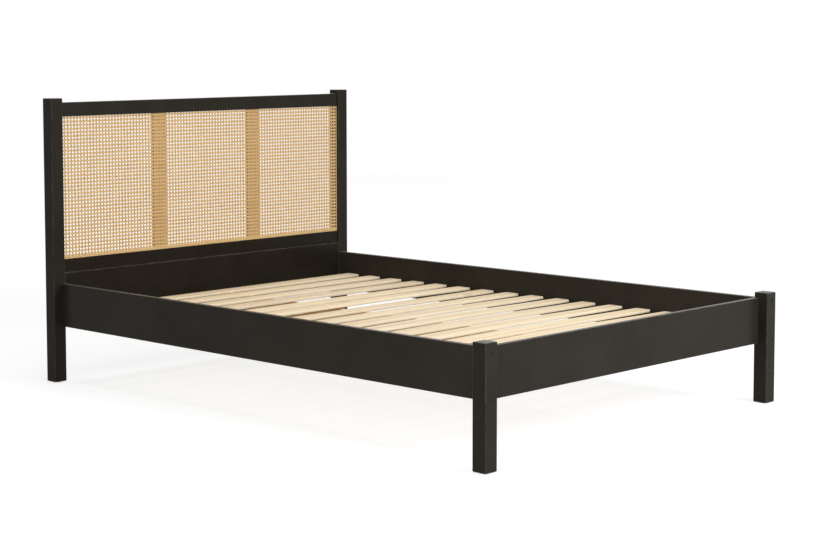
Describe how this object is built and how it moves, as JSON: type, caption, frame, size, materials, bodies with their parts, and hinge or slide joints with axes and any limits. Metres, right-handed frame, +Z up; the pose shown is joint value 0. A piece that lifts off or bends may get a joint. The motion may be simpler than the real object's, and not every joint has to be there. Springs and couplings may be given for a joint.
{
  "type": "slatted double bed with cane headboard",
  "caption": "Black lacquered wooden double bed frame on square posts, with a woven cane headboard panel and a pale slatted base.",
  "frame": {"origin": "on the floor, at the middle of the four posts' footprint", "axes": "+Y towards the headboard, +X to the right as seen from the foot, +Z up"},
  "size_m": [1.524, 2.124, 1.045],
  "materials": {
    "black_lacquer": "satin black lacquer over solid wood",
    "pine": "planed, unvarnished pale pine",
    "strut_wood": "planed natural wood, warmer than the slats",
    "cane": "natural rattan cane, slightly glossy skin",
    "zinc_steel": "bright zinc-plated sheet steel",
    "black_plastic": "moulded black nylon"
  },
  "bodies": {
    "root": {"head_post_left": "black_lacquer", "head_post_right": "black_lacquer", "foot_post_left": "black_lacquer", "foot_post_right": "black_lacquer", "headboard_top_rail": "black_lacquer", "headboard_lower_rail": "black_lacquer", "head_panel": "black_lacquer", "foot_rail": "black_lacquer", "side_rail_left": "black_lacquer", "side_rail_right": "black_lacquer", "cane_panel": "cane", "cane_spline_top": "cane", "cane_spline_bottom": "cane", "cane_spline_left": "cane", "cane_spline_right": "cane", "cane_strut_left": "strut_wood", "cane_strut_right": "strut_wood", "slat_ledger_left": "black_lacquer", "slat_ledger_right": "black_lacquer", "centre_beam": "strut_wood", "slat_01": "pine", "slat_02": "pine", "slat_03": "pine", "slat_04": "pine", "slat_05": "pine", "slat_06": "pine", "slat_07": "pine", "slat_08": "pine", "slat_09": "pine", "slat_10": "pine", "slat_11": "pine", "slat_12": "pine", "slat_13": "pine", "slat_14": "pine", "slat_15": "pine", "slat_16": "pine", "beam_bracket_foot": "zinc_steel", "beam_bracket_head": "zinc_steel", "hook_plate_foot_left": "zinc_steel", "hook_plate_foot_right": "zinc_steel", "hook_plate_head_left": "zinc_steel", "hook_plate_head_right": "zinc_steel", "strike_plate_foot_left": "zinc_steel", "strike_plate_foot_right": "zinc_steel", "strike_plate_head_left": "zinc_steel", "strike_plate_head_right": "zinc_steel", "lock_screw_left_lower": "zinc_steel", "lock_screw_left_upper": "zinc_steel", "lock_screw_right_lower": "zinc_steel", "lock_screw_right_upper": "zinc_steel", "screw_cap_left_lower": "black_plastic", "screw_cap_left_upper": "black_plastic", "screw_cap_right_lower": "black_plastic", "screw_cap_right_upper": "black_plastic", "glide_foot_left": "black_plastic", "glide_foot_right": "black_plastic", "glide_head_left": "black_plastic", "glide_head_right": "black_plastic"}
  },
  "joints": []
}
